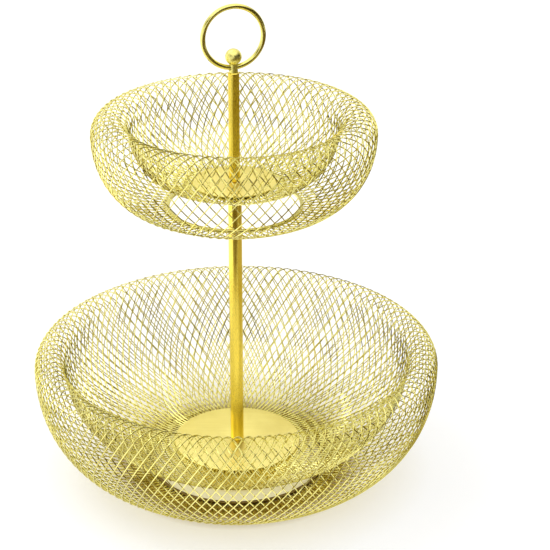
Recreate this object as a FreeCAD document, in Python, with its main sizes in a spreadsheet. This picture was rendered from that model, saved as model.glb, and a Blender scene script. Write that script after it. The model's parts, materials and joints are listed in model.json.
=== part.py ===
import FreeCAD, Part
import math
import os

import Sketcher

# Tiered wire basket: two double-walled bowls of crossed wire on a centre rod with a ring handle.
# Millimetres and degrees. The table is at height 0 and the rod stands on the Z axis.
SIZES = {
    "wire_diameter": 1.0,
    "layer_clearance": 0.15,
    "seat_clearance": 0.2,
    "lower_radius": 149.4,
    "lower_rim_height": 87.2,
    "lower_fold_radius": 10.6,
    "lower_fullness": 2.16,
    "lower_slant": 33.6,
    "lower_wires": 40,
    "lower_hoop_radius": 64.3,
    "lower_plate_radius": 47.5,
    "lower_plate_top": 18.4,
    "lower_clamp_radius": 43.0,
    "lower_boss_radius": 12.0,
    "lower_wire_end_radius": 38.0,
    "lower_rod_diameter": 10.0,
    "lower_rod_length": 209.7,
    "upper_radius": 100.9,
    "upper_rim_rise": 37.6,
    "upper_foot_drop": 18.4,
    "upper_fold_radius": 13.2,
    "upper_fullness": 2.1,
    "upper_slant": 36.7,
    "upper_wires": 25,
    "upper_hoop_radius": 46.8,
    "upper_plate_radius": 30.1,
    "upper_clamp_radius": 27.0,
    "upper_boss_radius": 9.0,
    "upper_wire_end_radius": 22.0,
    "upper_rod_diameter": 8.0,
    "upper_rod_length": 81.4,
    "hoop_width": 2.6,
    "hoop_height": 2.4,
    "plate_thickness": 1.0,
    "plate_chamfer": 0.3,
    "clamp_thickness": 1.0,
    "clamp_slope": 4.0,
    "thread_diameter": 5.0,
    "thread_clearance": 0.15,
    "screw_reach": 12.0,
    "bore_spare": 2.0,
    "washer_radius": 6.5,
    "washer_thickness": 1.0,
    "screw_head_radius": 4.6,
    "screw_head_height": 3.2,
    "socket_radius": 1.8,
    "socket_depth": 2.0,
    "rod_chamfer": 0.6,
    "neck_diameter": 6.2,
    "eye_rise": 3.5,
    "eye_clearance": 0.5,
    "ball_diameter": 11.6,
    "ball_rise": 11.2,
    "ring_radius": 22.0,
    "ring_wire_diameter": 3.4,
    "ring_turn": 18.0,
}

# Straight pieces in one wire: up the outer wall, over the rim, down the inner wall, under the plate
LOWER_PIECES = (4, 4, 3, 1)
UPPER_PIECES = (3, 4, 3, 1)
SWING_STEPS = 24
WIRE_SIDES = 3

doc = FreeCAD.newDocument("tiered_wire_basket")
sheet = doc.addObject("Spreadsheet::Sheet", "Sizes")
for row, (alias, value) in enumerate(SIZES.items(), start=1):
    sheet.set("A%d" % row, alias)
    sheet.set("B%d" % row, str(value))
    sheet.setAlias("B%d" % row, alias)
doc.recompute()


def size(expression):
    """The value of a sheet alias, or of a formula made of them."""
    return float(sheet.evalExpression(expression))


# Heights of each stack, from the plate down: plate, gap, two layers of wire, gap, clamp
LAYER_PITCH = "(Sizes.wire_diameter + Sizes.layer_clearance)"
MESH_THICKNESS = "(%s + Sizes.wire_diameter)" % LAYER_PITCH
FLANGE_DROP = "(Sizes.plate_thickness + 2 * Sizes.seat_clearance + %s)" % MESH_THICKNESS
MESH_DROP = "(Sizes.plate_thickness + Sizes.seat_clearance + %s / 2)" % MESH_THICKNESS
STACK = "(Sizes.plate_thickness + Sizes.clamp_thickness)"
LOWER_TOP = "Sizes.lower_plate_top"
LOWER_ROD_TOP = "(%s + Sizes.lower_rod_length)" % LOWER_TOP
UPPER_TOP = "(%s + %s)" % (LOWER_ROD_TOP, STACK)
UPPER_ROD_TOP = "(%s + Sizes.upper_rod_length)" % UPPER_TOP
LOWER_HOOP_BASE = "0"
LOWER_FOOT = "(Sizes.hoop_height / 2)"
UPPER_FOOT = "(%s - Sizes.upper_foot_drop)" % UPPER_TOP
UPPER_HOOP_BASE = "(%s - Sizes.hoop_height / 2)" % UPPER_FOOT
EYE_HEIGHT = "(%s + Sizes.eye_rise)" % UPPER_ROD_TOP
THREAD = "(Sizes.thread_diameter / 2)"
TAPPED = "(%s + Sizes.thread_clearance)" % THREAD
BORE_DEPTH = "(Sizes.screw_reach + Sizes.bore_spare)"


def turned(label, corners):
    """A body turned about Z; each corner is a radius and a height, written as formulas."""
    body = doc.addObject("PartDesign::Body", label)
    body.Label = label
    sketch = body.newObject("Sketcher::SketchObject", label + "_profile")
    plane = [item for item in body.Origin.OriginFeatures if item.Role == "XZ_Plane"][0]
    sketch.AttachmentSupport = [(plane, "")]
    sketch.MapMode = "FlatFace"
    points = [FreeCAD.Vector(size(radius), size(height), 0) for radius, height in corners]
    count = len(points)
    for k in range(count):
        sketch.addGeometry(Part.LineSegment(points[k], points[(k + 1) % count]))
    for k in range(count):
        sketch.addConstraint(Sketcher.Constraint("Coincident", k, 2, (k + 1) % count, 1))
    for k, (radius, height) in enumerate(corners):
        place_corner(sketch, "DistanceX", k, radius, -2)
        place_corner(sketch, "DistanceY", k, height, -1)
    turn = body.newObject("PartDesign::Revolution", label + "_turn")
    turn.Profile = sketch
    turn.ReferenceAxis = (sketch, ["V_Axis"])
    turn.Angle = 360
    return body


def place_corner(sketch, kind, corner, formula, axis):
    """Ties one coordinate of a corner to its formula, or to the axis where it is zero."""
    if formula == "0":
        sketch.addConstraint(Sketcher.Constraint("PointOnObject", corner, 1, axis))
        return
    rule = Sketcher.Constraint(kind, -1, 1, corner, 1, size(formula))
    index = sketch.addConstraint(rule)
    sketch.setExpression("Constraints[%d]" % index, formula)


def cylinder(name, radius, height, base):
    """An upright cylinder on the axis from formulas."""
    item = doc.addObject("Part::Cylinder", name)
    item.setExpression("Radius", radius)
    item.setExpression("Height", height)
    item.setExpression("Placement.Base.z", base)
    return item


def bowl_curves(bowl, rim_height, foot_height, clamp_height):
    """The four stretches of a bowl's wall, each a function of 0 to 1 giving radius and height."""
    wide = size("Sizes.%s_radius" % bowl)
    fold = size("Sizes.%s_fold_radius" % bowl)
    power = 2 / size("Sizes.%s_fullness" % bowl)
    foot = size("Sizes.%s_hoop_radius + Sizes.hoop_width + Sizes.seat_clearance" % bowl)
    edge = size("Sizes.%s_plate_radius" % bowl)
    end = size("Sizes.%s_wire_end_radius" % bowl)
    fold_centre = wide - fold
    reach = fold_centre - edge
    rise = rim_height - clamp_height
    inner = (reach ** 2 + rise ** 2 - fold ** 2) / (2 * (rise + fold))
    inner_centre = clamp_height + inner
    meet = math.atan2(rim_height - inner_centre, reach)

    def outer_wall(u):
        across = math.sin(u * math.pi / 2) ** power
        below = max(0.0, math.cos(u * math.pi / 2)) ** power
        return foot + (wide - foot) * across, rim_height - (rim_height - foot_height) * below

    def rim(u):
        angle = u * (math.pi + meet)
        return fold_centre + fold * math.cos(angle), rim_height + fold * math.sin(angle)

    def inner_wall(u):
        angle = meet + u * (-math.pi / 2 - meet)
        return edge + inner * math.cos(angle), inner_centre + inner * math.sin(angle)

    def under_plate(u):
        return edge + u * (end - edge), clamp_height

    return outer_wall, rim, inner_wall, under_plate


def wire_path(curves, pieces, widest, slant, hand, offset):
    """Corners of one wire that slants to one hand, moved off the wall's middle by an offset."""
    path = []
    azimuth = 0.0
    for curve, count in zip(curves, pieces):
        for k in range(count):
            if not path:
                path.append(wall_point(curve, 0.0, azimuth, offset))
            azimuth += hand * swing(curve, k / count, (k + 1) / count, widest, slant)
            path.append(wall_point(curve, (k + 1) / count, azimuth, offset))
    return path


def swing(curve, start, stop, widest, slant):
    """The angle a wire turns about the axis along a stretch; its slant grows with the radius."""
    total = 0.0
    for k in range(SWING_STEPS):
        r_from, z_from = curve(start + (stop - start) * k / SWING_STEPS)
        r_to, z_to = curve(start + (stop - start) * (k + 1) / SWING_STEPS)
        radius = (r_from + r_to) / 2
        lean = math.asin(radius / widest * math.sin(slant))
        total += math.tan(lean) * math.hypot(r_to - r_from, z_to - z_from) / radius
    return total


def wall_point(curve, u, azimuth, offset):
    """A point of the wall at an azimuth, moved along the wall's outward normal."""
    step = 0.001
    radius, height = curve(u)
    r_from, z_from = curve(max(0.0, u - step))
    r_to, z_to = curve(min(1.0, u + step))
    length = math.hypot(r_to - r_from, z_to - z_from)
    radius += offset * (z_to - z_from) / length
    height -= offset * (r_to - r_from) / length
    return FreeCAD.Vector(radius * math.cos(azimuth), radius * math.sin(azimuth), height)


def wire_solid(path, diameter):
    """A three-sided wire along the corners, mitred where it bends and cut square to the radius."""
    runs = [(b - a).normalize() for a, b in zip(path, path[1:])]
    cuts = [radial(path[0])]
    cuts += [(a + b).normalize() for a, b in zip(runs, runs[1:])]
    cuts += [radial(path[-1])]
    side = runs[0].cross(FreeCAD.Vector(0, 0, 1)).normalize()
    upward = side.cross(runs[0])
    section = []
    for k in range(WIRE_SIDES):
        angle = math.pi / 2 + 2 * math.pi * k / WIRE_SIDES
        off_middle = side * math.cos(angle) + upward * math.sin(angle)
        section.append(carry(path[0] + off_middle * (diameter / 2), runs[0], path[0], cuts[0]))
    faces = [Part.Face(Part.makePolygon(section + section[:1]))]
    for k, run in enumerate(runs):
        following = [carry(corner, run, path[k + 1], cuts[k + 1]) for corner in section]
        for j in range(WIRE_SIDES):
            n = (j + 1) % WIRE_SIDES
            loop = [section[j], section[n], following[n], following[j], section[j]]
            faces.append(Part.Face(Part.makePolygon(loop)))
        section = following
    faces.append(Part.Face(Part.makePolygon(section + section[:1])))
    solid = Part.Solid(Part.Shell(faces))
    if solid.Volume < 0:
        solid.reverse()
    return solid


def radial(point):
    """The level direction out from the axis at a point."""
    return FreeCAD.Vector(point.x, point.y, 0).normalize()


def carry(corner, run, on_plane, normal):
    """Slides a corner along a run until it meets a plane."""
    return corner + run * ((on_plane - corner).dot(normal) / run.dot(normal))


def wire_group(label, bowl, pieces, heights, hand):
    """All wires of one hand in a bowl; the left hand lies outside and the right hand inside."""
    widest = size("Sizes.%s_radius" % bowl)
    slant = math.radians(size("Sizes.%s_slant" % bowl))
    wires = int(size("Sizes.%s_wires" % bowl))
    curves = bowl_curves(bowl, *heights)
    offset = hand * size(LAYER_PITCH) / 2
    path = wire_path(curves, pieces, widest, slant, hand, offset)
    first = wire_solid(path, size("Sizes.wire_diameter"))
    solids = []
    for k in range(wires):
        turn = FreeCAD.Rotation(FreeCAD.Vector(0, 0, 1), 360 * k / wires)
        solids.append(first.transformed(FreeCAD.Placement(FreeCAD.Vector(), turn).Matrix))
    group = doc.addObject("Part::Feature", label)
    group.Label = label
    group.Shape = Part.makeCompound(solids)
    group.Placement = FreeCAD.Placement()
    return group


def hoop(label, radius, base):
    """The flat hoop that the wires of a bowl start from."""
    rim = "(%s + Sizes.hoop_width)" % radius
    top = "(%s + Sizes.hoop_height)" % base
    return turned(label, [(radius, base), (rim, base), (rim, top), (radius, top)])


def plate(label, radius, top):
    """The round plate in a bowl, with a broken upper edge and a hole for the thread."""
    under = "(%s - Sizes.plate_thickness)" % top
    shoulder = "(%s - Sizes.plate_chamfer)" % top
    inset = "(%s - Sizes.plate_chamfer)" % radius
    return turned(label, [(TAPPED, under), (radius, under), (radius, shoulder), (inset, top), (TAPPED, top)])


def clamp(label, radius, boss, top):
    """The dished plate below: its boss meets the plate and its flange holds the wire ends."""
    seat = "(%s - Sizes.plate_thickness)" % top
    boss_under = "(%s - Sizes.clamp_thickness)" % seat
    flange = "(%s - %s)" % (top, FLANGE_DROP)
    flange_under = "(%s - Sizes.clamp_thickness)" % flange
    skirt = "(%s + Sizes.clamp_slope)" % boss
    return turned(label, [
        (TAPPED, boss_under), (boss, boss_under), (skirt, flange_under), (radius, flange_under),
        (radius, flange), (skirt, flange), (boss, seat), (TAPPED, seat)])


def rod(label, diameter, base, top):
    """A round rod with broken edges and a tapped bore in each end."""
    outside = "(%s / 2)" % diameter
    inset = "(%s - Sizes.rod_chamfer)" % outside
    low = "(%s + Sizes.rod_chamfer)" % base
    high = "(%s - Sizes.rod_chamfer)" % top
    floor = "(%s + %s)" % (base, BORE_DEPTH)
    ceiling = "(%s - %s)" % (top, BORE_DEPTH)
    return turned(label, [
        (TAPPED, base), (inset, base), (outside, low), (outside, high), (inset, top), (TAPPED, top),
        (TAPPED, ceiling), ("0", ceiling), ("0", floor), (TAPPED, floor)])


def base_washer():
    """The washer between the clamp's boss and the screw's head."""
    top = "(%s - %s)" % (LOWER_TOP, STACK)
    under = "(%s - Sizes.washer_thickness)" % top
    rim = "Sizes.washer_radius"
    return turned("base_washer", [(TAPPED, under), (rim, under), (rim, top), (TAPPED, top)])


def base_screw():
    """The screw that draws the lower bowl up against the rod, with a six-sided socket."""
    seat = "(%s - %s - Sizes.washer_thickness)" % (LOWER_TOP, STACK)
    under = "(%s - Sizes.screw_head_height)" % seat
    tip = "(%s + Sizes.screw_reach)" % LOWER_TOP
    head = "Sizes.screw_head_radius"
    blank = turned("screw_blank", [
        ("0", under), (head, under), (head, seat), (THREAD, seat), (THREAD, tip), ("0", tip)])
    socket = doc.addObject("Part::Prism", "screw_socket")
    socket.Polygon = 6
    socket.setExpression("Circumradius", "Sizes.socket_radius")
    socket.setExpression("Height", "Sizes.socket_depth")
    socket.setExpression("Placement.Base.z", under)
    screw = doc.addObject("Part::Cut", "base_screw")
    screw.Label = "base_screw"
    screw.Base = blank
    screw.Tool = socket
    return screw


def joining_stud():
    """The stud that runs from the lower rod through the upper bowl into the upper rod."""
    base = "(%s - Sizes.screw_reach)" % LOWER_ROD_TOP
    stud = cylinder("joining_stud", THREAD, "2 * Sizes.screw_reach + %s" % STACK, base)
    stud.Label = "joining_stud"
    return stud


def finial():
    """The turned top: a threaded spigot, a neck drilled across for the ring, and a ball."""
    ball_height = "(%s + Sizes.ball_rise)" % UPPER_ROD_TOP
    spigot = cylinder("finial_spigot", THREAD, "Sizes.screw_reach", "%s - Sizes.screw_reach" % UPPER_ROD_TOP)
    neck = cylinder("finial_neck", "Sizes.neck_diameter / 2", "Sizes.ball_rise", UPPER_ROD_TOP)
    ball = doc.addObject("Part::Sphere", "finial_ball")
    ball.setExpression("Radius", "Sizes.ball_diameter / 2")
    ball.setExpression("Placement.Base.z", ball_height)
    whole = doc.addObject("Part::MultiFuse", "finial_blank")
    whole.Shapes = [spigot, neck, ball]
    eye = doc.addObject("Part::Cylinder", "finial_eye")
    eye.setExpression("Radius", "Sizes.ring_wire_diameter / 2 + Sizes.eye_clearance")
    eye.setExpression("Height", "2 * Sizes.neck_diameter")
    eye.Placement.Rotation = across_ring()
    for axis, share in (("x", "cos"), ("y", "sin")):
        eye.setExpression(
            "Placement.Base.%s" % axis, "-Sizes.neck_diameter * %s(Sizes.ring_turn * 1 deg)" % share)
    eye.setExpression("Placement.Base.z", EYE_HEIGHT)
    top = doc.addObject("Part::Cut", "finial")
    top.Label = "finial"
    top.Base = whole
    top.Tool = eye
    return top


def across_ring():
    """The turn that lays the Z direction along the ring's pivot."""
    turn = FreeCAD.Rotation(FreeCAD.Vector(0, 0, 1), size("Sizes.ring_turn"))
    return turn.multiply(FreeCAD.Rotation(FreeCAD.Vector(0, 1, 0), 90))


def ring_handle():
    """The ring that stands upright through the neck and swings about the neck's hole."""
    ring = doc.addObject("Part::Torus", "ring_handle")
    ring.Label = "ring_handle"
    ring.setExpression("Radius1", "Sizes.ring_radius")
    ring.setExpression("Radius2", "Sizes.ring_wire_diameter / 2")
    upright = FreeCAD.Rotation(FreeCAD.Vector(1, 0, 0), 90)
    turn = FreeCAD.Rotation(FreeCAD.Vector(0, 0, 1), size("Sizes.ring_turn"))
    ring.Placement.Rotation = turn.multiply(upright)
    ring.setExpression("Placement.Base.z", "%s + Sizes.ring_radius" % EYE_HEIGHT)
    return ring


def lower_bowl():
    heights = size("Sizes.lower_rim_height"), size(LOWER_FOOT), size("%s - %s" % (LOWER_TOP, MESH_DROP))
    return [
        wire_group("lower_left_wires", "lower", LOWER_PIECES, heights, 1),
        wire_group("lower_right_wires", "lower", LOWER_PIECES, heights, -1),
        hoop("lower_hoop", "Sizes.lower_hoop_radius", LOWER_HOOP_BASE),
        plate("lower_plate", "Sizes.lower_plate_radius", LOWER_TOP),
        clamp("lower_clamp", "Sizes.lower_clamp_radius", "Sizes.lower_boss_radius", LOWER_TOP)]


def upper_bowl():
    rim_height = size("%s + Sizes.upper_rim_rise" % UPPER_TOP)
    heights = rim_height, size(UPPER_FOOT), size("%s - %s" % (UPPER_TOP, MESH_DROP))
    return [
        wire_group("upper_left_wires", "upper", UPPER_PIECES, heights, 1),
        wire_group("upper_right_wires", "upper", UPPER_PIECES, heights, -1),
        hoop("upper_hoop", "Sizes.upper_hoop_radius", UPPER_HOOP_BASE),
        plate("upper_plate", "Sizes.upper_plate_radius", UPPER_TOP),
        clamp("upper_clamp", "Sizes.upper_clamp_radius", "Sizes.upper_boss_radius", UPPER_TOP)]


def centre_column():
    return [
        base_washer(),
        base_screw(),
        rod("lower_rod", "Sizes.lower_rod_diameter", LOWER_TOP, LOWER_ROD_TOP),
        joining_stud(),
        rod("upper_rod", "Sizes.upper_rod_diameter", UPPER_TOP, UPPER_ROD_TOP),
        finial(),
        ring_handle()]


def check(nodes):
    """Stops if any object of the document failed or any node has no valid shape."""
    for item in doc.Objects:
        if "Invalid" in item.State or "Error" in item.State:
            raise RuntimeError("%s failed: %s" % (item.Name, item.State))
    for node in nodes:
        if node.Shape.isNull() or not node.Shape.isValid():
            raise RuntimeError("%s has no valid shape" % node.Label)


nodes = lower_bowl() + upper_bowl() + centre_column()
doc.recompute()
check(nodes)
os.makedirs("parts", exist_ok=True)
for node in nodes:
    node.Shape.exportStep("parts/%s.step" % node.Label)
    box = node.Shape.BoundBox
    heights = "%.2f to %.2f" % (box.ZMin, box.ZMax)
    print(node.Label, len(node.Shape.Solids), round(node.Shape.Volume, 1), heights)
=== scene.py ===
import json
import math

import bpy
from bpy.props import FloatProperty, FloatVectorProperty, IntProperty, PointerProperty
from mathutils import Matrix, Vector


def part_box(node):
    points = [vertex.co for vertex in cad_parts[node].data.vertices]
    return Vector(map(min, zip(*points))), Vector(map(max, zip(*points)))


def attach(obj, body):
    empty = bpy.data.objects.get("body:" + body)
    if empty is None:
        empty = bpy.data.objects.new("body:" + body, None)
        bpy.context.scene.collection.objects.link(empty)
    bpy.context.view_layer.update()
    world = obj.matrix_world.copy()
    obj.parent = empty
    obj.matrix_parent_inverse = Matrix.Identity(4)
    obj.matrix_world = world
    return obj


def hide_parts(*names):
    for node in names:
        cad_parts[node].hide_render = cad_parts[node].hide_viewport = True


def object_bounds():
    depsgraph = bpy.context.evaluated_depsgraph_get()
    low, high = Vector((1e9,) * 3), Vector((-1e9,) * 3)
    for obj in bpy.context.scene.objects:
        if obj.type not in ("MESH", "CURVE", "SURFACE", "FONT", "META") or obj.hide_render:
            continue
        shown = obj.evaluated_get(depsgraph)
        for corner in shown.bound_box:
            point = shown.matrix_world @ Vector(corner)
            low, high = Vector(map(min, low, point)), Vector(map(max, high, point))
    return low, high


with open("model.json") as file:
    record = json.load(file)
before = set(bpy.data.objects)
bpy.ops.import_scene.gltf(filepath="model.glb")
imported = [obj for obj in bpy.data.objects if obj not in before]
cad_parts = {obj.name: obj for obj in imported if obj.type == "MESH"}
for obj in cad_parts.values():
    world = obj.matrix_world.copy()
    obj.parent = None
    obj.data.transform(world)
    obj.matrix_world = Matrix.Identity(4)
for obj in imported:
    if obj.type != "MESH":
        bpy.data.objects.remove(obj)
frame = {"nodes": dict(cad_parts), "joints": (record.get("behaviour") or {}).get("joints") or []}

bl_info = {
    "name": "Tiered Wire Basket",
    "version": (1, 0, 0),
    "blender": (4, 5, 0),
    "location": "View3D > Sidebar > Basket",
    "description": "Models a gold two-tier wire basket with a ring handle round its packed frame",
    "category": "Add Mesh",
}

# The frame's box as it was loaded
FRAME_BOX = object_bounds()

# The hinge of the ring handle
RING_PIVOT = frame["joints"][0]

# Fineness of the modelling
SEED_SIZE = 0.001
MERGE_DISTANCE = 1e-6
TURN_STEPS = 96
ARC_STEPS = 16
CURVE_STEPS = 240
STEPS_PER_LINK = 2
WIRE_ROUNDNESS = 1
KNOT_FINENESS = 1
EDGE_STEPS = 3
RING_SIDES = 20
CARD_SIDES = 72
SMOOTH_ANGLE = math.radians(35)

# A knot's length, width and height as shares of its length, and the eye's drill in radii of the neck
KNOT_SHAPE = (1.0, 0.78, 0.7)
DRILL_REACH = 4

# Grain of the plated finishes: broad patches under fine marks, and the span of them that shows
BROAD_SCALE = 45.0
BROAD_DETAIL = 3.0
FINE_DETAIL = 4.0
EVEN_GRAIN = (1, 1, 1)
COLOUR_SPAN = (0.36, 0.62)
GLOSS_SPAN = (0.3, 0.7)
RELIEF_DEPTH = 0.0001
QUARTER_TURN = 0.25

# The stage: the floor lies just clear of the hoop and changes its tone at these radii, where the basket's
# shade and golden glow are painted on it
FLOOR_GAP = 0.0002
FLOOR_ROUGHNESS = 0.9
SHADE_RADII = (0.040, 0.049, 0.060, 0.0675, 0.079, 0.100, 0.150)
NO_LIGHT = (0.0, 0.0, 0.0)
WHITE = (1.0, 1.0, 1.0, 1.0)
SENSOR_WIDTH = 36.0


def length(name, description, metres):
    """A size in metres that shows in the sidebar."""
    return FloatProperty(
        name=name, description=description, default=metres, min=0.0, precision=5, unit="LENGTH")


def colour(name, description, red, green, blue):
    """A linear colour that shows in the sidebar."""
    return FloatVectorProperty(
        name=name, description=description, default=(red, green, blue), min=0.0, max=1.0, subtype="COLOR")


class LowerBowlSizes(bpy.types.PropertyGroup):
    """Sizes of the wide bowl at the foot."""
    wires: IntProperty(name="Wires", description="Wires that lean to each hand", default=120, min=3)
    link: length("Link", "Wire between two crossings", 0.00707)
    radius: length("Radius", "Middle of the wall where it is widest", 0.1494)
    rim_height: length("Rim height", "Height where the wall is widest", 0.0872)
    fold: length("Fold", "Radius of the rim's fold", 0.0106)
    fullness: FloatProperty(name="Fullness", description="Roundness of the outer wall", default=2.16)
    wire_end: length("Wire end", "Radius at which the wires stop under the plate", 0.038)
    boss: length("Boss", "Radius of the clamp's raised middle", 0.012)


class UpperBowlSizes(bpy.types.PropertyGroup):
    """Sizes of the small bowl at the top."""
    wires: IntProperty(name="Wires", description="Wires that lean to each hand", default=75, min=3)
    link: length("Link", "Wire between two crossings", 0.00707)
    radius: length("Radius", "Middle of the wall where it is widest", 0.1009)
    rim_height: length("Rim height", "Height where the wall is widest", 0.2677)
    fold: length("Fold", "Radius of the rim's fold", 0.0132)
    fullness: FloatProperty(name="Fullness", description="Roundness of the outer wall", default=2.1)
    wire_end: length("Wire end", "Radius at which the wires stop under the plate", 0.022)
    boss: length("Boss", "Radius of the clamp's raised middle", 0.009)


class BasketSizes(bpy.types.PropertyGroup):
    """Sizes that the pieces share."""
    wire: length("Wire", "Diameter of the mesh wire", 0.0008)
    layer: length("Layer", "How far each hand of wires lies off the wall's middle", 0.0003)
    knot: length("Knot", "Length of the welded knot at a crossing", 0.0017)
    wire_drop: length("Wire drop", "Middle of the wires below the plate's underside", 0.001275)
    hoop_width: length("Hoop width", "Width of the hoops", 0.0026)
    hoop_gap: length("Hoop gap", "Room between a hoop and the wires", 0.0002)
    hoop_edge: length("Hoop edge", "Rounding of the hoops' edges", 0.0006)
    soft_edge: length("Soft edge", "Rounding of the sheet metal's edges", 0.0003)
    rod_edge: length("Rod edge", "Broken edge at the ends of the rods", 0.0006)
    sheet: length("Sheet", "Thickness of the plates and clamps", 0.001)
    flange_drop: length("Flange drop", "Depth of a clamp's flange below its boss", 0.00255)
    slope: length("Slope", "Width of the slope round a clamp's boss", 0.004)
    thread: length("Thread", "Radius of the tapped bores", 0.00265)
    bore: length("Bore", "Depth of the tapped bores", 0.014)
    neck: length("Neck", "Radius of the finial's neck", 0.0031)
    spigot: length("Spigot", "Radius of the finial's threaded end", 0.0025)
    ball: length("Ball", "Radius of the finial's ball", 0.0058)
    ring_wire: length("Ring wire", "Diameter of the ring's wire", 0.0037)
    eye_room: length("Eye room", "Room round the ring in its eye", 0.00035)


class BasketColours(bpy.types.PropertyGroup):
    """Colours of the finishes."""
    wire: colour("Wire", "Plated mesh wire", 0.83, 0.77, 0.28)
    wire_deep: colour("Wire, deep", "Wire where the plating is darker", 0.66, 0.59, 0.17)
    # Painted shade: the knots' darker brown stands for the shade where the wires cross.
    knot: colour("Knot", "Welded knots of the mesh", 0.52, 0.38, 0.06)
    knot_shade_deep: colour("Knot, deep", "Knots where the weld is darker", 0.38, 0.27, 0.04)
    # Painted shade: the large bowl's hoop gets a dark bronze colour for the shade it stands in under the
    # bowl; the small bowl's hoop uses the wire colour.
    hoop: colour("Hoop", "Bronzed hoop of the large bowl", 0.26, 0.18, 0.05)
    hoop_shade_deep: colour("Hoop, deep", "Bronzed hoop where it is darker", 0.17, 0.11, 0.03)
    plate: colour("Plate", "Satin plates", 0.97, 0.85, 0.29)
    plate_deep: colour("Plate, deep", "Plates along the brush marks", 0.91, 0.78, 0.24)
    rod: colour("Rod", "Polished rods", 0.86, 0.68, 0.12)
    rod_deep: colour("Rod, deep", "Rods where they are rubbed", 0.78, 0.59, 0.08)
    ring: colour("Ring", "Paler gold of the ring and the ball", 0.86, 0.79, 0.26)
    ring_deep: colour("Ring, deep", "Ring and ball where they are rubbed", 0.78, 0.69, 0.18)
    steel: colour("Steel", "Zinc-plated fixings", 0.62, 0.62, 0.60)
    steel_deep: colour("Steel, deep", "Fixings where the zinc is dull", 0.42, 0.42, 0.41)
    floor: colour("Floor", "Plain pale floor", 0.56, 0.56, 0.56)
    floor_lift: colour("Floor lift", "Light added to the open floor as it is seen", 0.56, 0.56, 0.56)
    plate_lift: colour("Plate lift", "Light added to the floor under the plate", 0.33, 0.275, 0.035)
    shade_lift: colour("Shade lift", "Light added to the floor inside the hoop", 0.44, 0.39, 0.17)
    wall_lift: colour("Wall lift", "Light added to the floor under the open wall", 0.48, 0.445, 0.36)
    # Painted shade: this golden floor tone stands for the basket's shadow, tinted by the gold light that
    # the basket throws down.
    foot_shade: colour("Foot shade", "Golden floor under the plate and outside the hoop", 0.50, 0.34, 0.06)
    card: colour("Card", "Dark cards round the basket that the metal reflects", 0.05, 0.042, 0.018)
    floor_card: colour("Floor card", "Dark cards on the floor that the metal reflects", 0.15, 0.10, 0.013)
    side_card: colour("Side card", "Golden card on the floor close on the right", 0.70, 0.62, 0.40)
    bright_card: colour("Bright card", "Pale cards that the metal reflects", 1.0, 1.0, 0.98)


class StageSettings(bpy.types.PropertyGroup):
    """Camera and light."""
    lens: FloatProperty(name="Lens", description="Focal length in millimetres", default=118.6)
    camera_place: FloatVectorProperty(
        name="Camera place", description="Where the camera stands", default=(0.02884, -1.20185, 0.7164),
        subtype="TRANSLATION", unit="LENGTH")
    camera_tilt: FloatProperty(
        name="Camera tilt", description="Angle from straight down", default=math.radians(64.991),
        subtype="ANGLE")
    floor_reach: length("Floor reach", "Half the floor's width", 40.0)
    card_glow: FloatProperty(name="Card glow", description="Brightness of the pale cards", default=1.5)
    left_glow: FloatProperty(
        name="Left glow", description="Brightness of the pale card on the left floor", default=2.0)
    sky: FloatProperty(name="Sky", description="Even light from all round", default=0.80)
    key: FloatProperty(name="Key", description="Strength of the soft key light", default=0.75)
    key_place: FloatVectorProperty(
        name="Key place", description="Where the key light hangs", default=(-0.9, 0.25, 1.5),
        subtype="TRANSLATION", unit="LENGTH")
    key_softness: FloatProperty(
        name="Key softness", description="Width of the key light as seen from the basket",
        default=math.radians(35), subtype="ANGLE")


def bowl_of(tier):
    """The sizes of a tier's bowl by its name."""
    return getattr(bpy.context.scene, "basket_" + tier)


def new_piece(name, start):
    """A piece of one vertex at the start, left in edit mode."""
    bpy.ops.object.select_all(action="DESELECT")
    bpy.ops.mesh.primitive_plane_add(size=SEED_SIZE)
    piece = bpy.context.object
    piece.name = name
    piece.data.name = name
    bpy.ops.object.mode_set(mode="EDIT")
    bpy.ops.mesh.merge(type="CENTER")
    bpy.ops.transform.translate(value=start)
    return piece


def draw_on(points):
    """Extrudes the selected vertex through the points, from the first one on."""
    for here, there in zip(points, points[1:]):
        bpy.ops.mesh.extrude_region_move(TRANSFORM_OT_translate={"value": there - here})


def arc(centre, radius, start, stop):
    """Corners of a section along an arc, in degrees from level outwards."""
    corners = []
    for k in range(ARC_STEPS + 1):
        turn = math.radians(start + (stop - start) * k / ARC_STEPS)
        corners.append((centre[0] + radius * math.cos(turn), centre[1] + radius * math.sin(turn)))
    return corners


def turned(name, corners):
    """A piece turned about Z from the radius and height of each corner of its section."""
    points = [Vector((radius, 0.0, height)) for radius, height in corners]
    piece = new_piece(name, points[0])
    draw_on(points)
    bpy.ops.mesh.select_all(action="SELECT")
    bpy.ops.mesh.spin(steps=TURN_STEPS, angle=math.tau, center=(0, 0, 0), axis=(0, 0, 1))
    bpy.ops.mesh.select_all(action="SELECT")
    bpy.ops.mesh.remove_doubles(threshold=MERGE_DISTANCE)
    bpy.ops.mesh.normals_make_consistent(inside=False)
    bpy.ops.object.mode_set(mode="OBJECT")
    return piece


def softened(piece, width):
    """Rounds the piece's sharp edges."""
    bpy.ops.object.modifier_add(type="BEVEL")
    edge = piece.modifiers[-1]
    edge.width = width
    edge.segments = EDGE_STEPS
    edge.limit_method = "ANGLE"
    edge.angle_limit = SMOOTH_ANGLE
    bpy.ops.object.modifier_apply(modifier=edge.name)
    return piece


def finished(piece, body, slot, material, *nodes):
    """Shades a piece, gives it its finish, and sets it on its body in place of the frame's nodes."""
    bpy.ops.object.shade_smooth_by_angle(angle=SMOOTH_ANGLE)
    piece.data.materials.clear()
    piece.data.materials.append(material)
    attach(piece, body)
    if nodes:
        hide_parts(*nodes)
    return piece


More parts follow.
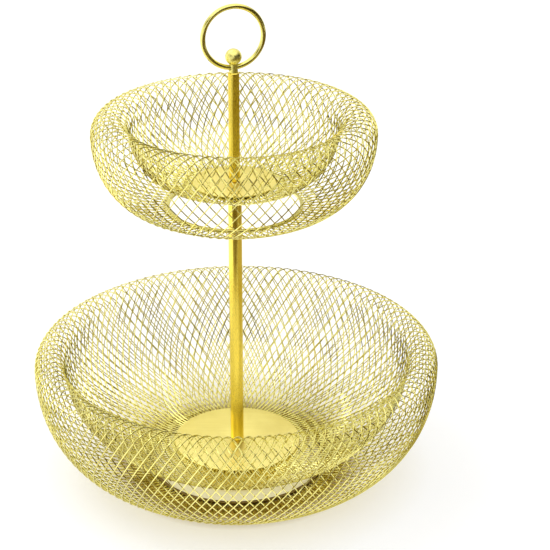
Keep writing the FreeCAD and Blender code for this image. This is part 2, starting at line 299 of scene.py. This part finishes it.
def wall_line(tier):
    """Radius and height down the middle of a bowl's wall, from its foot over the rim to the wire ends."""
    bowl = bowl_of(tier)
    sizes = bpy.context.scene.basket_sizes
    hoop_low, hoop_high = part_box(tier + "_hoop")
    plate_low, plate_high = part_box(tier + "_plate")
    foot = Vector((hoop_high.x + sizes.hoop_gap, (hoop_low.z + hoop_high.z) / 2))
    edge = Vector((plate_high.x, plate_low.z - sizes.wire_drop))
    rim = Vector((bowl.radius, bowl.rim_height))
    fold_middle = rim - Vector((bowl.fold, 0.0))
    reach, rise = fold_middle - edge
    inner = (reach ** 2 + rise ** 2 - bowl.fold ** 2) / (2 * (rise + bowl.fold))
    inner_middle = edge + Vector((0.0, inner))
    meet = math.atan2(fold_middle.y - inner_middle.y, reach)
    power = 2 / bowl.fullness
    line = []
    for k in range(CURVE_STEPS):
        turn = math.pi / 2 * k / CURVE_STEPS
        across = math.sin(turn) ** power
        below = math.cos(turn) ** power
        line.append(Vector((foot.x + (rim.x - foot.x) * across, rim.y - (rim.y - foot.y) * below)))
    for k in range(CURVE_STEPS):
        turn = (math.pi + meet) * k / CURVE_STEPS
        line.append(fold_middle + bowl.fold * Vector((math.cos(turn), math.sin(turn))))
    for k in range(CURVE_STEPS):
        turn = meet - (math.pi / 2 + meet) * k / CURVE_STEPS
        line.append(inner_middle + inner * Vector((math.cos(turn), math.sin(turn))))
    line.append(edge)
    line.append(Vector((bowl.wire_end, edge.y)))
    return line


def places_on_wire(tier):
    """Even shares of each link along one wire: the wall's point, its outward normal and its swing."""
    bowl = bowl_of(tier)
    share_of_link = math.pi / bowl.wires / STEPS_PER_LINK
    line = wall_line(tier)
    places = []
    swing = 0.0
    for here, there in zip(line, line[1:]):
        run = there - here
        radius = (here.x + there.x) / 2
        lean = math.asin(radius * math.pi / (bowl.wires * bowl.link))
        turn = math.tan(lean) * run.length / radius
        while len(places) * share_of_link <= swing + turn:
            due = len(places) * share_of_link
            point = here.lerp(there, (due - swing) / turn)
            places.append((point, Vector((run.y, -run.x)).normalized(), due))
        swing += turn
    return places


def in_space(flat, azimuth):
    """A radius and height as a point or direction at an azimuth."""
    return Vector((flat.x * math.cos(azimuth), flat.x * math.sin(azimuth), flat.y))


def copy_round(copies):
    """Copies all of the piece in edit mode round Z."""
    bpy.ops.mesh.select_all(action="SELECT")
    last_turn = math.tau * (copies - 1) / copies
    bpy.ops.mesh.spin(steps=copies - 1, dupli=True, angle=last_turn, center=(0, 0, 0), axis=(0, 0, 1))


def wire_layer(tier, hand):
    """All the wires of one hand: one is drawn link by link, made round and copied about the axis."""
    sizes = bpy.context.scene.basket_sizes
    name = "%s_%s_wires" % (tier, hand)
    side = 1 if hand == "left" else -1
    points = []
    for point, normal, swing in places_on_wire(tier):
        points.append(in_space(point + side * sizes.layer * normal, side * swing))
    wires = new_piece(name + "_mesh", points[0])
    draw_on(points)
    bpy.ops.object.mode_set(mode="OBJECT")
    bpy.ops.object.convert(target="CURVE")
    wires.data.bevel_depth = sizes.wire / 2
    wires.data.bevel_resolution = WIRE_ROUNDNESS
    wires.data.use_fill_caps = True
    bpy.ops.object.convert(target="MESH")
    bpy.ops.object.mode_set(mode="EDIT")
    copy_round(bowl_of(tier).wires)
    bpy.ops.object.mode_set(mode="OBJECT")
    finished(wires, "stand", "gold_wire", wire_finish(), name)


def knot_layer(tier):
    """The knots where wires cross: a chain of beads along one wire, copied about the axis."""
    sizes = bpy.context.scene.basket_sizes
    bpy.ops.object.select_all(action="DESELECT")
    for point, normal, swing in places_on_wire(tier)[STEPS_PER_LINK::STEPS_PER_LINK]:
        out = in_space(normal, swing)
        along = in_space(Vector((-normal.y, normal.x)), swing)
        turn = Matrix((along, out.cross(along), out)).transposed()
        bpy.ops.mesh.primitive_ico_sphere_add(
            subdivisions=KNOT_FINENESS, radius=sizes.knot / 2, location=in_space(point, swing),
            rotation=turn.to_euler(), scale=KNOT_SHAPE)
        if bpy.context.mode == "OBJECT":
            bpy.ops.object.transform_apply(location=True, rotation=True, scale=True)
            bpy.ops.object.mode_set(mode="EDIT")
    copy_round(bowl_of(tier).wires)
    bpy.ops.object.mode_set(mode="OBJECT")
    knots = bpy.context.object
    knots.name = tier + "_knots"
    finished(knots, "stand", "gold_wire", shaded_knot_finish())


def draw_highlights(nodes, links, shader, amount):
    """Draws a shader's highlights out, as polishing round Z in the lathe does."""
    shader.inputs["Anisotropic"].default_value = amount
    shader.inputs["Anisotropic Rotation"].default_value = QUARTER_TURN
    round_axis = nodes.new("ShaderNodeTangent")
    round_axis.direction_type = "RADIAL"
    round_axis.axis = "Z"
    links.new(round_axis.outputs["Tangent"], shader.inputs["Tangent"])


def noise(nodes, links, place, scale, detail):
    """An output of noise over a place."""
    texture = nodes.new("ShaderNodeTexNoise")
    texture.inputs["Scale"].default_value = scale
    texture.inputs["Detail"].default_value = detail
    links.new(place, texture.inputs["Vector"])
    return texture.outputs["Fac"]


def mean(nodes, links, first, second):
    """An output halfway between two others."""
    both = nodes.new("ShaderNodeMath")
    both.operation = "ADD"
    links.new(first, both.inputs[0])
    links.new(second, both.inputs[1])
    halved = nodes.new("ShaderNodeMath")
    halved.operation = "MULTIPLY"
    halved.inputs[1].default_value = 0.5
    links.new(both.outputs[0], halved.inputs[0])
    return halved.outputs[0]


def plated_finish(name, light, deep, roughness, grain, relief, stretch=EVEN_GRAIN, drawn=0.0):
    """A plated metal whose colour, gloss and relief follow fine and broad grain in the piece's space."""
    found = bpy.data.materials.get(name)
    if found:
        return found
    material = bpy.data.materials.new(name)
    material.use_nodes = True
    nodes = material.node_tree.nodes
    links = material.node_tree.links
    shader = nodes["Principled BSDF"]
    shader.inputs["Metallic"].default_value = 1.0
    if drawn:
        draw_highlights(nodes, links, shader, drawn)
    place = nodes.new("ShaderNodeTexCoord").outputs["Object"]
    stretched = nodes.new("ShaderNodeMapping")
    stretched.inputs["Scale"].default_value = stretch
    links.new(place, stretched.inputs["Vector"])
    fine = noise(nodes, links, stretched.outputs["Vector"], grain, FINE_DETAIL)
    broad = noise(nodes, links, place, BROAD_SCALE, BROAD_DETAIL)
    both = mean(nodes, links, fine, broad)
    shade = nodes.new("ShaderNodeValToRGB")
    for stop, position, tone in zip(shade.color_ramp.elements, COLOUR_SPAN, (deep, light)):
        stop.position = position
        stop.color = (*tone, 1.0)
    links.new(both, shade.inputs["Fac"])
    links.new(shade.outputs["Color"], shader.inputs["Base Color"])
    gloss = nodes.new("ShaderNodeMapRange")
    gloss.inputs["From Min"].default_value, gloss.inputs["From Max"].default_value = GLOSS_SPAN
    gloss.inputs["To Min"].default_value, gloss.inputs["To Max"].default_value = roughness
    links.new(both, gloss.inputs["Value"])
    links.new(gloss.outputs["Result"], shader.inputs["Roughness"])
    bump = nodes.new("ShaderNodeBump")
    bump.inputs["Strength"].default_value = relief
    bump.inputs["Distance"].default_value = RELIEF_DEPTH
    links.new(fine, bump.inputs["Height"])
    links.new(bump.outputs["Normal"], shader.inputs["Normal"])
    return material


def wire_finish():
    """Bright plated wire with small changes of colour along it."""
    colours = bpy.context.scene.basket_colours
    return plated_finish(
        "gold_wire_plating", colours.wire, colours.wire_deep, roughness=(0.04, 0.10), grain=700.0,
        relief=0.1)


def shaded_knot_finish():
    """Welded knots, browner and duller than the wire; their dark brown is painted shade where the wires
    cross.
    """
    colours = bpy.context.scene.basket_colours
    return plated_finish(
        "shaded_knots", colours.knot, colours.knot_shade_deep, roughness=(0.3, 0.45), grain=700.0, relief=0.2)


def hoop_finish(tier):
    """Plated strip: bright on the small bowl, and darkened with painted shade on the one that stands on the
    floor, where the bowl above shades it.
    """
    colours = bpy.context.scene.basket_colours
    if tier == "upper":
        return plated_finish(
            "gold_hoop_plating", colours.wire, colours.wire_deep, roughness=(0.2, 0.34), grain=500.0,
            relief=0.2)
    # Painted shade: this dark colour stands for the shade under the large bowl.
    return plated_finish(
        "shaded_hoop_plating", colours.hoop, colours.hoop_shade_deep, roughness=(0.3, 0.45), grain=500.0,
        relief=0.2)


def plate_finish():
    """Satin pale gold with fine level brush marks."""
    colours = bpy.context.scene.basket_colours
    return plated_finish(
        "satin_gold_plate", colours.plate, colours.plate_deep, roughness=(0.34, 0.46), grain=900.0,
        relief=0.25, stretch=(0.05, 1, 1))


def rod_finish():
    """Gold rod polished in the lathe, which draws its highlights out along it."""
    colours = bpy.context.scene.basket_colours
    return plated_finish(
        "turned_gold_plating", colours.rod, colours.rod_deep, roughness=(0.12, 0.20), grain=900.0,
        relief=0.05, stretch=(1, 1, 0.03), drawn=0.7)


def ball_finish():
    """Soft polished gold of the ball and its neck."""
    colours = bpy.context.scene.basket_colours
    return plated_finish(
        "soft_gold_plating", colours.ring, colours.ring_deep, roughness=(0.30, 0.38), grain=600.0,
        relief=0.05)


def ring_finish():
    """Bright polished gold of the ring."""
    colours = bpy.context.scene.basket_colours
    return plated_finish(
        "polished_gold_plating", colours.ring, colours.ring_deep, roughness=(0.16, 0.26), grain=600.0,
        relief=0.05)


def steel_finish():
    """Zinc-plated steel."""
    colours = bpy.context.scene.basket_colours
    return plated_finish(
        "zinc_plated_steel", colours.steel, colours.steel_deep, roughness=(0.3, 0.5), grain=600.0,
        relief=0.2)


class BASKET_OT_wires(bpy.types.Operator):
    """Model the wires of both bowls"""
    bl_idname = "basket.wires"
    bl_label = "Wires"

    def execute(self, context):
        for tier in ("lower", "upper"):
            for hand in ("left", "right"):
                wire_layer(tier, hand)
        return {"FINISHED"}


class BASKET_OT_knots(bpy.types.Operator):
    """Model the knots where the wires cross"""
    bl_idname = "basket.knots"
    bl_label = "Knots"

    def execute(self, context):
        for tier in ("lower", "upper"):
            knot_layer(tier)
        return {"FINISHED"}


class BASKET_OT_hoops(bpy.types.Operator):
    """Model the hoop at each bowl's foot"""
    bl_idname = "basket.hoops"
    bl_label = "Hoops"

    def execute(self, context):
        sizes = context.scene.basket_sizes
        for tier in ("lower", "upper"):
            low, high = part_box(tier + "_hoop")
            inside = high.x - sizes.hoop_width
            corners = [
                (inside, low.z), (high.x, low.z), (high.x, high.z), (inside, high.z), (inside, low.z)]
            hoop = softened(turned(tier + "_hoop_ring", corners), sizes.hoop_edge)
            finished(hoop, "stand", "gold_hoop", hoop_finish(tier), tier + "_hoop")
        return {"FINISHED"}


class BASKET_OT_plates(bpy.types.Operator):
    """Model the plate in each bowl"""
    bl_idname = "basket.plates"
    bl_label = "Plates"

    def execute(self, context):
        sizes = context.scene.basket_sizes
        for tier in ("lower", "upper"):
            low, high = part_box(tier + "_plate")
            hole = sizes.thread
            corners = [(hole, low.z), (high.x, low.z), (high.x, high.z), (hole, high.z), (hole, low.z)]
            plate = softened(turned(tier + "_plate_disc", corners), sizes.soft_edge)
            finished(plate, "stand", "satin_plate", plate_finish(), tier + "_plate")
        return {"FINISHED"}


class BASKET_OT_clamps(bpy.types.Operator):
    """Model the dished clamp under each plate"""
    bl_idname = "basket.clamps"
    bl_label = "Clamps"

    def execute(self, context):
        sizes = context.scene.basket_sizes
        for tier in ("lower", "upper"):
            low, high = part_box(tier + "_clamp")
            boss = bowl_of(tier).boss
            skirt = boss + sizes.slope
            flange = high.z - sizes.flange_drop
            corners = [
                (sizes.thread, high.z - sizes.sheet), (boss, high.z - sizes.sheet), (skirt, low.z),
                (high.x, low.z), (high.x, flange), (skirt, flange), (boss, high.z), (sizes.thread, high.z),
                (sizes.thread, high.z - sizes.sheet)]
            clamp = softened(turned(tier + "_clamp_dish", corners), sizes.soft_edge)
            finished(clamp, "stand", "satin_plate", plate_finish(), tier + "_clamp")
        return {"FINISHED"}


class BASKET_OT_rods(bpy.types.Operator):
    """Model the two rods of the centre column"""
    bl_idname = "basket.rods"
    bl_label = "Rods"

    def execute(self, context):
        sizes = context.scene.basket_sizes
        for tier in ("lower", "upper"):
            low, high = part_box(tier + "_rod")
            inset = high.x - sizes.rod_edge
            floor = low.z + sizes.bore
            ceiling = high.z - sizes.bore
            corners = [
                (0.0, floor), (sizes.thread, floor), (sizes.thread, low.z), (inset, low.z),
                (high.x, low.z + sizes.rod_edge), (high.x, high.z - sizes.rod_edge), (inset, high.z),
                (sizes.thread, high.z), (sizes.thread, ceiling), (0.0, ceiling)]
            rod = turned(tier + "_rod_turned", corners)
            finished(rod, "stand", "polished_gold", rod_finish(), tier + "_rod")
        return {"FINISHED"}


class BASKET_OT_finial(bpy.types.Operator):
    """Model the ball on top, with its neck and the eye for the ring"""
    bl_idname = "basket.finial"
    bl_label = "Finial"

    def execute(self, context):
        sizes = context.scene.basket_sizes
        low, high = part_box("finial")
        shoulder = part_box("upper_rod")[1].z
        middle = high.z - sizes.ball
        start = -math.degrees(math.acos(sizes.neck / sizes.ball))
        corners = [(0.0, low.z), (sizes.spigot, low.z), (sizes.spigot, shoulder), (sizes.neck, shoulder)]
        corners += arc((0.0, middle), sizes.ball, start, 90)
        finial = turned("finial_turned", corners)
        across = Vector(RING_PIVOT["axis"]).to_track_quat("Z", "Y").to_euler()
        bpy.ops.mesh.primitive_cylinder_add(
            vertices=RING_SIDES * 2, radius=sizes.ring_wire / 2 + sizes.eye_room,
            depth=DRILL_REACH * sizes.neck, location=RING_PIVOT["pos_m"], rotation=across)
        drill = context.object
        bpy.ops.object.select_all(action="DESELECT")
        finial.select_set(True)
        context.view_layer.objects.active = finial
        bpy.ops.object.modifier_add(type="BOOLEAN")
        eye = finial.modifiers[-1]
        eye.object = drill
        bpy.ops.object.modifier_apply(modifier=eye.name)
        bpy.data.objects.remove(drill)
        finished(finial, "stand", "polished_gold", ball_finish(), "finial")
        return {"FINISHED"}


class BASKET_OT_ring(bpy.types.Operator):
    """Model the ring handle"""
    bl_idname = "basket.ring"
    bl_label = "Ring handle"

    def execute(self, context):
        sizes = context.scene.basket_sizes
        low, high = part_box("ring_handle")
        eye = Vector(RING_PIVOT["pos_m"])
        along = Vector(RING_PIVOT["axis"])
        radius = (high.z - low.z - sizes.ring_wire) / 2
        middle = eye + Vector((0, 0, radius))
        bpy.ops.object.select_all(action="DESELECT")
        bpy.ops.mesh.primitive_circle_add(
            vertices=RING_SIDES, radius=sizes.ring_wire / 2, location=eye,
            rotation=along.to_track_quat("Z", "Y").to_euler())
        ring = context.object
        ring.name = "ring_handle_wire"
        bpy.ops.object.transform_apply(location=True, rotation=True, scale=True)
        bpy.ops.object.mode_set(mode="EDIT")
        bpy.ops.mesh.select_all(action="SELECT")
        square = along.cross(Vector((0, 0, 1)))
        bpy.ops.mesh.spin(steps=TURN_STEPS, angle=math.tau, center=middle, axis=square)
        bpy.ops.mesh.select_all(action="SELECT")
        bpy.ops.mesh.remove_doubles(threshold=MERGE_DISTANCE)
        bpy.ops.mesh.normals_make_consistent(inside=False)
        bpy.ops.object.mode_set(mode="OBJECT")
        finished(ring, "handle", "polished_gold", ring_finish(), "ring_handle")
        return {"FINISHED"}


class BASKET_OT_fixings(bpy.types.Operator):
    """Give the screw, washer and stud of the frame their zinc finish"""
    bl_idname = "basket.fixings"
    bl_label = "Fixings"

    def execute(self, context):
        for name in ("base_screw", "base_washer", "joining_stud"):
            materials = frame["nodes"][name].data.materials
            materials.clear()
            materials.append(steel_finish())
        return {"FINISHED"}


def floor_finish():
    """A plain pale floor that the camera and the metal see as white where no shadow falls; round the
    basket's foot its tones are painted shade and painted golden light.
    """
    colours = bpy.context.scene.basket_colours
    material = bpy.data.materials.new("pale_floor")
    material.use_nodes = True
    nodes = material.node_tree.nodes
    links = material.node_tree.links
    shader = nodes["Principled BSDF"]
    shader.inputs["Roughness"].default_value = FLOOR_ROUGHNESS
    shader.inputs["Specular IOR Level"].default_value = 0.0
    place = nodes.new("ShaderNodeTexCoord")
    distance = nodes.new("ShaderNodeVectorMath")
    distance.operation = "LENGTH"
    links.new(place.outputs["Object"], distance.inputs[0])
    share = nodes.new("ShaderNodeMath")
    share.operation = "DIVIDE"
    share.inputs[1].default_value = SHADE_RADII[-1]
    links.new(distance.outputs["Value"], share.inputs[0])
    # Painted shade under the basket: a golden tone under the plate and round the foot, painted golden light
    # under the plate, and no added light in a ring at the hoop, which paints its contact shadow.
    own = (
        colours.foot_shade, colours.floor, colours.floor, colours.foot_shade, colours.foot_shade,
        colours.floor, colours.floor)
    lift = (
        colours.plate_lift, colours.shade_lift, colours.shade_lift, NO_LIGHT, NO_LIGHT,
        colours.wall_lift, colours.floor_lift)
    links.new(tones_by_radius(nodes, links, share, own), shader.inputs["Base Color"])
    links.new(tones_by_radius(nodes, links, share, lift), shader.inputs["Emission Color"])
    links.new(seen_directly(nodes, links), shader.inputs["Emission Strength"])
    return material


def tones_by_radius(nodes, links, share, tones):
    """An output with one tone at each of the floor's shade radii."""
    ramp = nodes.new("ShaderNodeValToRGB")
    stops = ramp.color_ramp.elements
    stops[0].position = SHADE_RADII[0] / SHADE_RADII[-1]
    stops[0].color = (*tones[0], 1.0)
    stops[1].color = (*tones[-1], 1.0)
    for radius, tone in zip(SHADE_RADII[1:-1], tones[1:-1]):
        stops.new(radius / SHADE_RADII[-1]).color = (*tone, 1.0)
    links.new(share.outputs[0], ramp.inputs["Fac"])
    return ramp.outputs["Color"]


def seen_directly(nodes, links):
    """An output that is 1 for rays from the camera, from metal and through glass."""
    path = nodes.new("ShaderNodeLightPath")
    seen = path.outputs["Is Camera Ray"]
    for kind in ("Is Glossy Ray", "Is Transmission Ray"):
        either = nodes.new("ShaderNodeMath")
        either.operation = "MAXIMUM"
        links.new(seen, either.inputs[0])
        links.new(path.outputs[kind], either.inputs[1])
        seen = either.outputs[0]
    return seen


def lay_floor():
    """A wide floor just below the basket's foot."""
    settings = bpy.context.scene.basket_stage
    level = FRAME_BOX[0].z - FLOOR_GAP
    bpy.ops.object.select_all(action="DESELECT")
    bpy.ops.mesh.primitive_plane_add(size=2 * settings.floor_reach, location=(0, 0, level))
    floor = bpy.context.object
    floor.name = "floor"
    floor.data.materials.append(floor_finish())


def reflection_card(card, name, tone):
    """Makes an object a card that only the metal's reflections see."""
    card.name = name
    material = bpy.data.materials.new(name)
    material.use_nodes = True
    nodes = material.node_tree.nodes
    nodes.remove(nodes["Principled BSDF"])
    even = nodes.new("ShaderNodeEmission")
    even.inputs["Color"].default_value = (*tone, 1.0)
    material.node_tree.links.new(even.outputs[0], nodes["Material Output"].inputs["Surface"])
    card.data.materials.append(material)
    card.visible_camera = False
    card.visible_diffuse = False
    card.visible_shadow = False
    card.visible_transmission = False


def hang_wall_card(name, tone, distance, middle, spread, heights):
    """A curved card that stands round the basket, spread in degrees to both sides of its middle azimuth."""
    low, high = heights
    bpy.ops.object.select_all(action="DESELECT")
    bpy.ops.mesh.primitive_cylinder_add(
        vertices=CARD_SIDES, radius=distance, depth=high - low, end_fill_type="NOTHING",
        location=(0, 0, (low + high) / 2))
    card = bpy.context.object
    bpy.ops.object.mode_set(mode="EDIT")
    bpy.ops.mesh.select_mode(type="FACE")
    bpy.ops.mesh.select_all(action="DESELECT")
    bpy.ops.object.mode_set(mode="OBJECT")
    for face in card.data.polygons:
        azimuth = math.degrees(math.atan2(face.center.y, face.center.x))
        face.select = abs((azimuth - middle + 180) % 360 - 180) > spread
    bpy.ops.object.mode_set(mode="EDIT")
    bpy.ops.mesh.delete(type="FACE")
    bpy.ops.mesh.select_mode(type="VERT")
    bpy.ops.object.mode_set(mode="OBJECT")
    reflection_card(card, name, tone)


def lay_card(name, tone, low, high, height):
    """A level card between two corners."""
    bpy.ops.object.select_all(action="DESELECT")
    bpy.ops.mesh.primitive_plane_add(
        size=1.0, location=((low[0] + high[0]) / 2, (low[1] + high[1]) / 2, height))
    card = bpy.context.object
    card.scale = (high[0] - low[0], high[1] - low[1], 1.0)
    bpy.ops.object.transform_apply(location=True, rotation=True, scale=True)
    reflection_card(card, name, tone)


def hang_cards():
    """Bright cards on the left, above and behind the camera, and dark ones in front and on the right."""
    colours = bpy.context.scene.basket_colours
    settings = bpy.context.scene.basket_stage
    bright = [settings.card_glow * part for part in colours.bright_card]
    brighter = [settings.left_glow * part for part in colours.bright_card]
    dark = colours.card
    dark_gold = colours.floor_card
    on_floor = FRAME_BOX[0].z - FLOOR_GAP / 2
    hang_wall_card("left_card", bright, distance=0.5, middle=-180, spread=32, heights=(0.0, 0.45))
    hang_wall_card("front_card", dark, distance=2.5, middle=-126, spread=24, heights=(1.0, 1.9))
    hang_wall_card("camera_card", bright, distance=2.5, middle=-92.5, spread=10, heights=(0.8, 1.5))
    hang_wall_card("right_card", dark, distance=2.5, middle=-26, spread=56, heights=(0.0, 1.9))
    lay_card("right_floor_card", dark_gold, low=(0.46, -0.32), high=(1.6, 1.0), height=on_floor)
    lay_card("front_floor_card", dark_gold, low=(-0.35, -2.4), high=(1.6, -0.32), height=on_floor)
    lay_card("side_floor_card", colours.side_card, low=(0.2, -0.30), high=(0.46, 1.0), height=on_floor)
    lay_card("near_floor_card", bright, low=(-0.2, -0.30), high=(0.15, -0.13), height=on_floor)
    lay_card("left_floor_card", brighter, low=(-1.4, -0.30), high=(-0.22, 0.7), height=on_floor)
    lay_card("top_card", bright, low=(-1.5, -2.2), high=(1.5, 1.5), height=2.0)


def light_sky():
    """Even light all round, white where the camera or the metal looks at it."""
    world = bpy.data.worlds.new("studio")
    bpy.context.scene.world = world
    world.use_nodes = True
    nodes = world.node_tree.nodes
    links = world.node_tree.links
    sky = nodes["Background"]
    sky.inputs["Color"].default_value = WHITE
    sky.inputs["Strength"].default_value = bpy.context.scene.basket_stage.sky
    white = nodes.new("ShaderNodeBackground")
    white.inputs["Color"].default_value = WHITE
    either = nodes.new("ShaderNodeMixShader")
    links.new(seen_directly(nodes, links), either.inputs["Fac"])
    links.new(sky.outputs[0], either.inputs[1])
    links.new(white.outputs[0], either.inputs[2])
    links.new(either.outputs[0], nodes["World Output"].inputs["Surface"])


def hang_key():
    """A soft key light from above on the left."""
    settings = bpy.context.scene.basket_stage
    bpy.ops.object.light_add(type="SUN", location=settings.key_place)
    key = bpy.context.object
    key.name = "key_light"
    key.data.energy = settings.key
    key.data.angle = settings.key_softness
    key.rotation_euler = (-key.location).to_track_quat("-Z", "Y").to_euler()


def place_camera():
    """The camera in front of the basket, looking down at it."""
    settings = bpy.context.scene.basket_stage
    bpy.ops.object.camera_add(location=settings.camera_place, rotation=(settings.camera_tilt, 0, 0))
    camera = bpy.context.object
    camera.data.lens = settings.lens
    camera.data.sensor_width = SENSOR_WIDTH
    bpy.context.scene.camera = camera


class BASKET_OT_stage(bpy.types.Operator):
    """Lay the floor, light it and place the camera"""
    bl_idname = "basket.stage"
    bl_label = "Stage"

    def execute(self, context):
        lay_floor()
        hang_cards()
        light_sky()
        hang_key()
        place_camera()
        context.scene.view_settings.view_transform = "Standard"
        return {"FINISHED"}


OPERATORS = (
    BASKET_OT_wires, BASKET_OT_knots, BASKET_OT_hoops, BASKET_OT_plates, BASKET_OT_clamps, BASKET_OT_rods,
    BASKET_OT_finial, BASKET_OT_ring, BASKET_OT_fixings, BASKET_OT_stage)


class BASKET_PT_sidebar(bpy.types.Panel):
    """The steps of the build, in order"""
    bl_idname = "BASKET_PT_sidebar"
    bl_label = "Tiered Wire Basket"
    bl_space_type = "VIEW_3D"
    bl_region_type = "UI"
    bl_category = "Basket"

    def draw(self, context):
        for operator in OPERATORS:
            self.layout.operator(operator.bl_idname)


GROUPS = {
    "basket_lower": LowerBowlSizes, "basket_upper": UpperBowlSizes, "basket_sizes": BasketSizes,
    "basket_colours": BasketColours, "basket_stage": StageSettings}


def register():
    """Adds the sizes and colours to the scene, and the steps to the sidebar."""
    for name, group in GROUPS.items():
        bpy.utils.register_class(group)
        setattr(bpy.types.Scene, name, PointerProperty(type=group))
    for part in (*OPERATORS, BASKET_PT_sidebar):
        bpy.utils.register_class(part)


def unregister():
    """Takes away what register added."""
    for part in (BASKET_PT_sidebar, *OPERATORS):
        bpy.utils.unregister_class(part)
    for name, group in GROUPS.items():
        delattr(bpy.types.Scene, name)
        bpy.utils.unregister_class(group)


def main():
    """Builds the basket and its stage."""
    register()
    bpy.ops.basket.wires()
    bpy.ops.basket.knots()
    bpy.ops.basket.hoops()
    bpy.ops.basket.plates()
    bpy.ops.basket.clamps()
    bpy.ops.basket.rods()
    bpy.ops.basket.finial()
    bpy.ops.basket.ring()
    bpy.ops.basket.fixings()
    bpy.ops.basket.stage()


if __name__ == "__main__":
    main()
